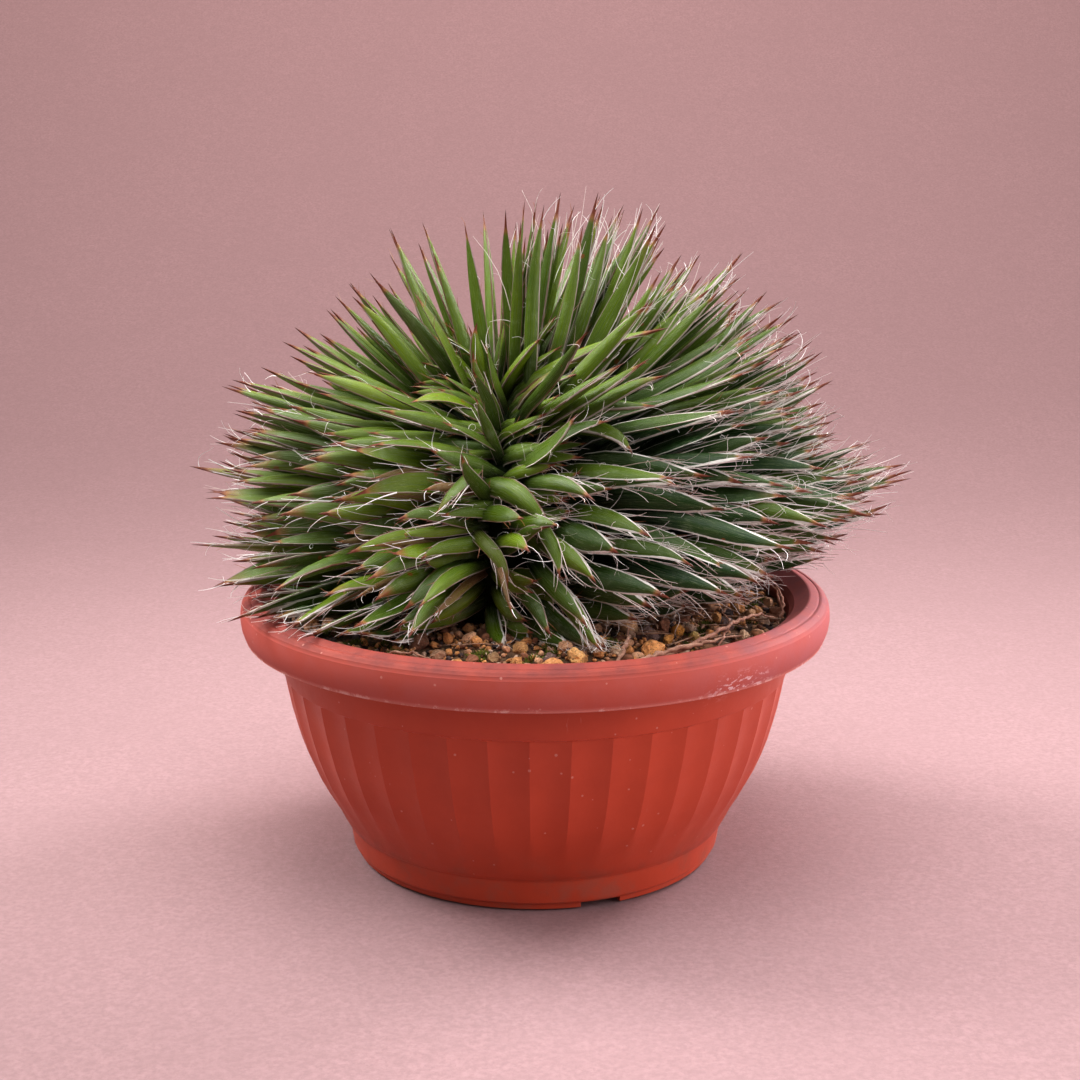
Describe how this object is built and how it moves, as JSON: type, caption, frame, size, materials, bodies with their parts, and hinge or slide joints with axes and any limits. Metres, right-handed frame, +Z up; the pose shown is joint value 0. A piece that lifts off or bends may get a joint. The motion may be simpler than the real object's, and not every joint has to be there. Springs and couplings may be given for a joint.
{
  "type": "potted crested agave",
  "caption": "Crested agave grown as a dense mound of spine-tipped leaves along a folded growth line, rooted in gritty mix in a fluted plastic bowl pot.",
  "frame": {"origin": "centre of the pot's foot, on the surface that it stands on", "axes": "+Z up along the pot's axis; the front of the crest, with the growth line, faces -Y; +X to the right of someone looking at that front, along the plant's greatest width"},
  "size_m": [0.2449, 0.1998, 0.2221],
  "materials": {
    "pot_plastic": "satin",
    "grit": "matte",
    "leaf": "satin"
  },
  "bodies": {
    "root": {"pot": "pot_plastic", "potting_mix": "grit", "crested_agave": "leaf"}
  },
  "joints": []
}
